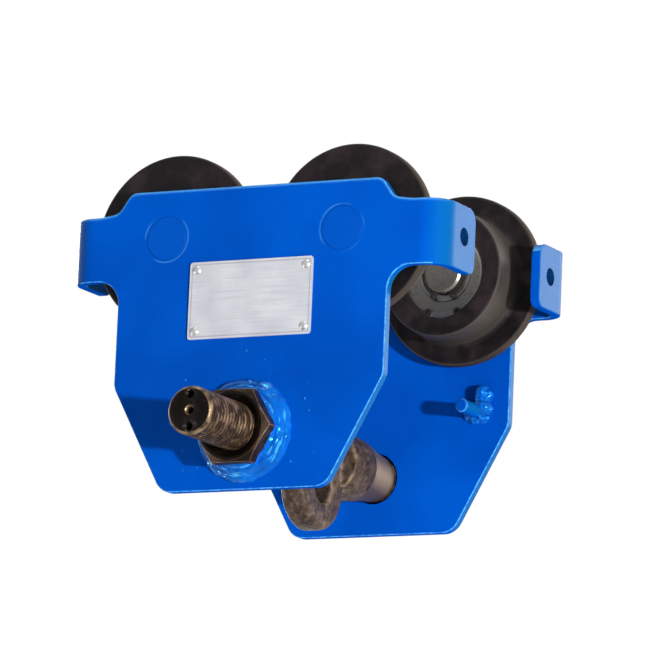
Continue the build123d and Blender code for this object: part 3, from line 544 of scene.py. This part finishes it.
threadSizes = {"start": 0.0653, "length": 0.0629, "crest": 0.012, "depth": 0.0006, "pitch": 0.003, "lead": 0.0035,
               "hand": 1.0, "around": 65, "along": 211}
threadCut = {"plainFrom": 0.0640, "plainTo": 0.1288, "slack": 2e-5, "rim": 0.002,  # metres
             "sharpAngle": 32.0}  # degrees


def threadTree():  # sleeve whose radius dips along a helix
    tree, size = startTree("barThread", threadSizes)
    grid, turn, run = startSleeve(tree, size["around"], size["along"])
    angle = addNode(tree, "ShaderNodeMath", {0: turn, 1: 2 * pi}, operation="MULTIPLY")
    run = addNode(tree, "ShaderNodeMath", {0: run, 1: size["length"]}, operation="MULTIPLY")
    pitches = addNode(tree, "ShaderNodeMath", {0: run, 1: size["pitch"]}, operation="DIVIDE")
    twist = addNode(tree, "ShaderNodeMath", {0: turn, 1: size["hand"]}, operation="MULTIPLY")
    phase = addNode(tree, "ShaderNodeMath", {0: pitches, 1: twist}, operation="ADD")
    phase = addNode(tree, "ShaderNodeMath", {0: phase, 1: 1.0}, operation="FLOORED_MODULO")
    phase = addNode(tree, "ShaderNodeMath", {0: phase, 1: 0.5}, operation="SUBTRACT")
    phase = addNode(tree, "ShaderNodeMath", {0: phase}, operation="ABSOLUTE")
    cut = addNode(tree, "ShaderNodeMapRange", {"Value": phase, 1: 0.06, 2: 0.34, 3: 1.0, 4: 0.0},
                  interpolation_type="SMOOTHSTEP")
    left = addNode(tree, "ShaderNodeMath", {0: size["length"], 1: run}, operation="SUBTRACT")
    runIn = addNode(tree, "ShaderNodeMapRange", {"Value": run, 2: size["lead"]})
    runOut = addNode(tree, "ShaderNodeMapRange", {"Value": left, 2: size["lead"]})
    for share in (runIn, runOut, size["depth"]):
        cut = addNode(tree, "ShaderNodeMath", {0: cut, 1: share}, operation="MULTIPLY")
    radius = addNode(tree, "ShaderNodeMath", {0: size["crest"], 1: cut}, operation="SUBTRACT")
    level, rise = roundAxis(tree, angle, radius)
    rise = addNode(tree, "ShaderNodeMath", {0: rise, 1: barZ}, operation="ADD")
    reach = addNode(tree, "ShaderNodeMath", {0: run, 1: size["start"]}, operation="ADD")
    place = addNode(tree, "ShaderNodeCombineXYZ", {"X": level, "Y": reach, "Z": rise})
    sleeve = addNode(tree, "GeometryNodeSetPosition", {"Geometry": grid, "Position": place})
    closed = addNode(tree, "GeometryNodeMergeByDistance", {"Geometry": sleeve, "Distance": oneSpot})
    whole = addNode(tree, "GeometryNodeRealizeInstances", {"Geometry": closed})
    closeTree(tree, whole, materials["bar_steel"])
    return tree


def makeThreadedBar():  # the forged bar with both threads cut, right-handed at the rear and left-handed in front
    tree = threadTree()
    shape = bmesh.new()
    shape.from_mesh(cadNodes["load_bar"].data)
    bmesh.ops.remove_doubles(shape, verts=shape.verts, dist=2 * oneSpot)

    def onThread(v):
        offCrest = abs(hypot(v.co.x, v.co.z - barZ) - threadSizes["crest"])
        return offCrest < threadCut["slack"] and threadCut["plainFrom"] < abs(v.co.y) < threadCut["plainTo"]

    plain = [f for f in shape.faces if all(onThread(v) for v in f.verts)]
    bmesh.ops.delete(shape, geom=plain, context="FACES")
    for way in (1, -1):
        sleeve = runTree(tree, dict(threadSizes, hand=float(way)))
        if way < 0:
            sleeve.transform(Matrix.Rotation(pi, 4, "Z"))
        shape.from_mesh(sleeve)
    rims = [e for e in shape.edges if e.is_boundary]
    for way in (1, -1):
        for spot in (threadSizes["start"], threadSizes["start"] + threadSizes["length"]):
            near = [e for e in rims if all(abs(v.co.y - way * spot) < threadCut["rim"] for v in e.verts)]
            bmesh.ops.bridge_loops(shape, edges=near)
    mesh = bpy.data.meshes.new("threadedLoadBar")
    openEdges = turnOut(shape, mesh)
    mesh.materials.append(materials["bar_steel"])
    mesh.shade_smooth()
    mesh.set_sharp_from_angle(angle=radians(threadCut["sharpAngle"]))
    showPiece("threadedLoadBar", mesh, "load_bar", "bar_steel", "load_bar")
    print("threaded bar:", len(mesh.polygons), "faces,", openEdges, "open edges")


makeThreadedBar()

weldSizes = {  # a bead in layers round a foot, with a few lumps of weld metal
    "inner": 0.0165, "outer": 0.0262, "height": 0.0078, "hollow": 1.5, "sunk": 0.0008, "layers": 3.0, "layer": 0.00075,
    "ripples": 46.0, "ripple": 0.00008, "bow": 2.5, "swell": 0.0034, "swellSize": 0.009, "around": 241, "rows": 31,
    "lumpStart": Vector((0.0186, -0.0044, -0.0068)), "lumpStep": Vector((0.0022, 0.0012, -0.0046)), "lumps": 1,
    "lumpSize": Vector((0.0029, 0.0013, 0.0033)), "seed": 4.0,
}


def weldTree():
    tree, size = startTree("weldBead", weldSizes)
    grid, turn, row = startSleeve(tree, size["around"], size["rows"])
    angle = addNode(tree, "ShaderNodeMath", {0: turn, 1: 2 * pi}, operation="MULTIPLY")
    lastRow = addNode(tree, "ShaderNodeMath", {0: size["rows"], 1: 1.0}, operation="SUBTRACT")
    row = addNode(tree, "ShaderNodeMath", {0: row, 1: lastRow}, operation="MULTIPLY")
    row = addNode(tree, "ShaderNodeMath", {0: row}, operation="ROUND")
    row = addNode(tree, "ShaderNodeMath", {0: row, 1: lastRow}, operation="FLOORED_MODULO")  # last row on the first
    backRow = addNode(tree, "ShaderNodeMath", {0: lastRow, 1: 1.5}, operation="SUBTRACT")
    back = addNode(tree, "ShaderNodeMath", {0: row, 1: backRow}, operation="GREATER_THAN")  # the row inside the plate
    onSkin = addNode(tree, "ShaderNodeMath", {0: 1.0, 1: back}, operation="SUBTRACT")
    skinRows = addNode(tree, "ShaderNodeMath", {0: lastRow, 1: 2.0}, operation="SUBTRACT")
    across = addNode(tree, "ShaderNodeMath", {0: row, 1: skinRows}, operation="DIVIDE")
    across = addNode(tree, "ShaderNodeMath", {0: across, 1: onSkin}, operation="MULTIPLY")
    width = addNode(tree, "ShaderNodeMath", {0: size["outer"], 1: size["inner"]}, operation="SUBTRACT")
    radius = addNode(tree, "ShaderNodeMath", {0: across, 1: width, 2: size["inner"]}, operation="MULTIPLY_ADD")
    fall = addNode(tree, "ShaderNodeMath", {0: across, 1: size["hollow"]}, operation="POWER")
    fall = addNode(tree, "ShaderNodeMath", {0: 1.0, 1: fall}, operation="SUBTRACT")
    height = addNode(tree, "ShaderNodeMath", {0: fall, 1: size["height"]}, operation="MULTIPLY")
    ridge = addNode(tree, "ShaderNodeMath", {0: across, 1: size["layers"]}, operation="MULTIPLY")
    ridge = addNode(tree, "ShaderNodeMath", {0: ridge, 1: pi}, operation="MULTIPLY")
    ridge = addNode(tree, "ShaderNodeMath", {0: ridge}, operation="SINE")
    ridge = addNode(tree, "ShaderNodeMath", {0: ridge}, operation="ABSOLUTE")
    height = addNode(tree, "ShaderNodeMath", {0: ridge, 1: size["layer"], 2: height}, operation="MULTIPLY_ADD")
    lag = addNode(tree, "ShaderNodeMath", {0: ridge, 1: size["bow"]}, operation="MULTIPLY")  # ripples are bowed
    beat = addNode(tree, "ShaderNodeMath", {0: angle, 1: size["ripples"], 2: lag}, operation="MULTIPLY_ADD")
    beat = addNode(tree, "ShaderNodeMath", {0: beat}, operation="SINE")
    beat = addNode(tree, "ShaderNodeMath", {0: beat, 1: ridge}, operation="MULTIPLY")
    height = addNode(tree, "ShaderNodeMath", {0: beat, 1: size["ripple"], 2: height}, operation="MULTIPLY_ADD")
    height = addNode(tree, "ShaderNodeMath", {0: height, 1: onSkin}, operation="MULTIPLY")
    height = addNode(tree, "ShaderNodeMath", {0: size["sunk"], 1: height}, operation="SUBTRACT")
    level, rise = roundAxis(tree, angle, radius)
    place = addNode(tree, "ShaderNodeCombineXYZ", {"X": level, "Y": height, "Z": rise})
    bead = addNode(tree, "GeometryNodeSetPosition", {"Geometry": grid, "Position": place})
    bead = addNode(tree, "GeometryNodeMergeByDistance", {"Geometry": bead, "Distance": oneSpot})
    line = addNode(tree, "GeometryNodeMeshLine", {
        "Count": size["lumps"], "Start Location": size["lumpStart"], "Offset": size["lumpStep"]})
    drop = addNode(tree, "GeometryNodeMeshIcoSphere", {"Radius": 1.0, "Subdivisions": 4})
    lumps = addNode(tree, "GeometryNodeInstanceOnPoints", {
        "Points": line, "Instance": drop, "Scale": size["lumpSize"]})
    joined = addNode(tree, "GeometryNodeJoinGeometry", {"Geometry": bead})
    setInputs(tree, joined, {"Geometry": lumps})
    whole = addNode(tree, "GeometryNodeRealizeInstances", {"Geometry": joined})
    grain = addNode(tree, "ShaderNodeMath", {0: 1.0, 1: size["swellSize"]}, operation="DIVIDE")
    uneven = addNode(tree, "ShaderNodeTexNoise", {"W": size["seed"], "Scale": grain, "Detail": 2.0},
                     noise_dimensions="4D")
    uneven = addNode(tree, "ShaderNodeMath", {0: uneven, 1: 0.5}, operation="SUBTRACT")
    uneven = addNode(tree, "ShaderNodeMath", {0: uneven, 1: size["swell"]}, operation="MULTIPLY")
    out = addNode(tree, "GeometryNodeInputNormal")
    shift = addNode(tree, "ShaderNodeVectorMath", {0: out, "Scale": uneven}, operation="SCALE")
    whole = addNode(tree, "GeometryNodeSetPosition", {"Geometry": whole, "Offset": shift})
    closeTree(tree, whole, materials["blue_weld"])
    return tree


studWeld = dict(weldSizes, inner=0.0028, outer=0.0078, height=0.0052, hollow=0.9, layers=1.0, layer=0.0006,
                ripples=7.0, ripple=0.0002, swell=0.006, swellSize=0.005, around=97,
                lumpStart=Vector((0.004, -0.002, 0.0015)), lumpStep=Vector((0.0002, -0.0003, 0.0064)),
                lumpSize=Vector((0.0049, 0.0052, 0.0046)), lumps=2, seed=11.0)


def makeWelds():  # each bead follows its foot, the rear ones half a turn round
    tree = weldTree()
    stud = middleOf("front_tilt_stud")
    stud.y = frontFace + plateThick  # on the plate's inner face
    nut = Vector((0, frontFace, barZ))
    feet = (("Nut", nut, weldSizes, 0.0), ("Stud", stud, studWeld, pi))
    for foot, spot, sizes, facing in feet:
        for side, turn in (("front", 0.0), ("rear", pi)):
            mesh = runTree(tree, dict(sizes, seed=sizes["seed"] + (side == "rear")))
            mesh.transform(Matrix.Rotation(turn, 4, "Z") @ Matrix.Translation(spot) @ Matrix.Rotation(facing, 4, "Z"))
            shape = bmesh.new()
            shape.from_mesh(mesh)
            openEdges = turnOut(shape, mesh)
            name = side + foot + "WeldBead"
            showPiece(name, mesh, side + "_side", "blue_weld", side + "_" + foot.lower() + "_weld")
            print(name, len(mesh.polygons), "faces,", openEdges, "open edges")


makeWelds()

spatterSizes = {"reach": 0.044, "clear": 0.0275, "lowest": -0.025, "perArea": 6500.0, "size": 0.0009, "smallest": 0.35,
                "flat": 0.6, "seed": 5}


def spatterTree():  # frozen drops of weld metal under the paint
    tree, size = startTree("weldSpatter", spatterSizes)
    disc = addNode(tree, "GeometryNodeMeshCircle", {"Vertices": 48, "Radius": size["reach"]}, fill_type="NGON")
    disc = addNode(tree, "GeometryNodeTransform", {"Geometry": disc, "Rotation": (pi / 2, 0, 0)})
    drops = addNode(tree, "GeometryNodeDistributePointsOnFaces", {
        "Mesh": disc, "Density": size["perArea"], "Seed": size["seed"]})
    spot = addNode(tree, "GeometryNodeInputPosition")
    away = addNode(tree, "ShaderNodeVectorMath", {0: spot}, operation="LENGTH").outputs["Value"]
    onBead = addNode(tree, "FunctionNodeCompare", {0: away, 1: size["clear"]}, operation="LESS_THAN")
    height = addNode(tree, "ShaderNodeSeparateXYZ", {"Vector": spot}).outputs["Z"]
    offPlate = addNode(tree, "FunctionNodeCompare", {0: height, 1: size["lowest"]}, operation="LESS_THAN")
    unused = addNode(tree, "FunctionNodeBooleanMath", {0: onBead, 1: offPlate}, operation="OR")
    kept = addNode(tree, "GeometryNodeDeleteGeometry", {"Geometry": drops.outputs["Points"], "Selection": unused},
                   domain="POINT")
    grow = addNode(tree, "FunctionNodeRandomValue", {2: size["smallest"], 3: 1.0, "Seed": size["seed"]},
                   data_type="FLOAT")
    grow = addNode(tree, "ShaderNodeMath", {0: grow, 1: size["size"]}, operation="MULTIPLY")
    low = addNode(tree, "ShaderNodeMath", {0: grow, 1: size["flat"]}, operation="MULTIPLY")
    scale = addNode(tree, "ShaderNodeCombineXYZ", {"X": grow, "Y": low, "Z": grow})
    drop = addNode(tree, "GeometryNodeMeshIcoSphere", {"Radius": 1.0, "Subdivisions": 2})
    placed = addNode(tree, "GeometryNodeInstanceOnPoints", {"Points": kept, "Instance": drop, "Scale": scale})
    whole = addNode(tree, "GeometryNodeRealizeInstances", {"Geometry": placed})
    closeTree(tree, whole, materials["blue_weld"])
    return tree


def makeSpatter():
    tree = spatterTree()
    for side, turn in (("front", 0.0), ("rear", pi)):
        mesh = runTree(tree, dict(spatterSizes, seed=spatterSizes["seed"] + (side == "rear")))
        mesh.transform(Matrix.Rotation(turn, 4, "Z") @ Matrix.Translation((0, frontFace, barZ)))
        showPiece(side + "WeldSpatter", mesh, side + "_side", "blue_weld")
        print(side, "spatter", len(mesh.polygons), "faces")


makeSpatter()

camera = {
    "azimuth": 27.4, "elevation": -10.9, "roll": 2.5,  # degrees
    "distance": 3.011, "right": 0.007, "up": 0.061, "seesTo": 50.0,  # metres, aim from the middle of the bar
    "lensMm": 334.5, "sensorMm": 36.0,
}


def placeCamera():
    a, e, r = (radians(camera[k]) for k in ("azimuth", "elevation", "roll"))
    back = Vector((sin(a) * cos(e), -cos(a) * cos(e), sin(e)))
    level = Vector((cos(a), sin(a), 0))
    upright = back.cross(level)
    right = level * cos(r) + upright * sin(r)
    up = upright * cos(r) - level * sin(r)
    data = bpy.data.cameras.new("camera")
    data.sensor_fit = "HORIZONTAL"
    data.sensor_width = camera["sensorMm"]
    data.lens = camera["lensMm"]
    data.clip_end = camera["seesTo"]
    eye = bpy.data.objects.new("camera", data)
    turn = Matrix((right, up, back)).transposed().to_4x4()
    aim = Vector((0, 0, barZ)) + right * camera["right"] + up * camera["up"]
    eye.matrix_world = Matrix.Translation(aim + back * camera["distance"]) @ turn
    scene.collection.objects.link(eye)
    scene.camera = eye


lamps = {  # direction from the object, distance m, size m, watts
    "key": ((0.85, -0.53, -0.12), 2.4, 0.12, 86.0),
    "top": ((0.0, -0.22, 1.0), 2.2, 0.4, 8.0),
    "kick": ((-0.91, -0.25, -0.34), 2.4, 0.06, 12.0),
    "side": ((0.452, 0.872, 0.19), 2.4, 1.4, 18.0),
    "back": ((-0.55, 0.8, 0.25), 2.4, 1.4, 50.0),
}


def placeLamps():
    for name, (way, distance, size, watts) in lamps.items():
        data = bpy.data.lights.new(name, "AREA")
        data.shape = "DISK"
        data.size = size
        data.energy = watts
        lamp = bpy.data.objects.new(name, data)
        direction = Vector(way).normalized()
        lamp.location = direction * distance
        lamp.rotation_mode = "QUATERNION"
        lamp.rotation_quaternion = direction.to_track_quat("Z", "Y")
        scene.collection.objects.link(lamp)


studio = {"fill": 0.18, "seen": 1.0,  # strength of the world on the object and to the eye
          "floor": "#ECEBE9", "floorRoughness": 0.8, "floorGlow": "#FDFDFC", "glowShare": 0.75,
          "floorHalf": 30.0, "floorZ": -0.9}  # metres


def seenRays(tree):  # 1 for what the eye, metal and glass see, 0 for light on the object
    rays = addNode(tree, "ShaderNodeLightPath").outputs
    seen = addNode(tree, "ShaderNodeMath", {0: rays["Is Camera Ray"], 1: rays["Is Transmission Ray"]},
                   operation="MAXIMUM")
    return addNode(tree, "ShaderNodeMath", {0: seen, 1: rays["Is Glossy Ray"]}, operation="MAXIMUM")


def lightWorld():
    world = bpy.data.worlds.new("studio")
    world.use_nodes = True
    tree = world.node_tree
    tree.nodes.clear()
    strength = addNode(tree, "ShaderNodeMapRange", {"Value": seenRays(tree), 3: studio["fill"], 4: studio["seen"]})
    glow = addNode(tree, "ShaderNodeBackground", {"Color": (1, 1, 1, 1), "Strength": strength})
    addNode(tree, "ShaderNodeOutputWorld", {"Surface": glow})
    scene.world = world


def layFloor():
    half, z = studio["floorHalf"], studio["floorZ"]
    mesh = bpy.data.meshes.new("floor")
    corners = [(-half, -half, z), (half, -half, z), (half, half, z), (-half, half, z)]
    mesh.from_pydata(corners, [], [(0, 1, 2, 3)])
    floor = bpy.data.objects.new("floor", mesh)
    material, tree, _, shader = startMaterial("paleFloor")  # matt screed: pale, and throws no light on the object
    setInputs(tree, shader, {"Base Color": linearColor(studio["floor"]), "Roughness": studio["floorRoughness"]})
    share = addNode(tree, "ShaderNodeMath", {0: seenRays(tree), 1: studio["glowShare"]}, operation="MULTIPLY")
    pale = addNode(tree, "ShaderNodeEmission", {"Color": linearColor(studio["floorGlow"])})
    mixed = addNode(tree, "ShaderNodeMixShader", {0: share, 1: shader, 2: pale})
    setInputs(tree, tree.get_output_node("ALL"), {"Surface": mixed})
    mesh.materials.append(material)
    scene.collection.objects.link(floor)


placeCamera()
placeLamps()
lightWorld()
layFloor()
scene.view_settings.view_transform = "Standard"
print("stage set")
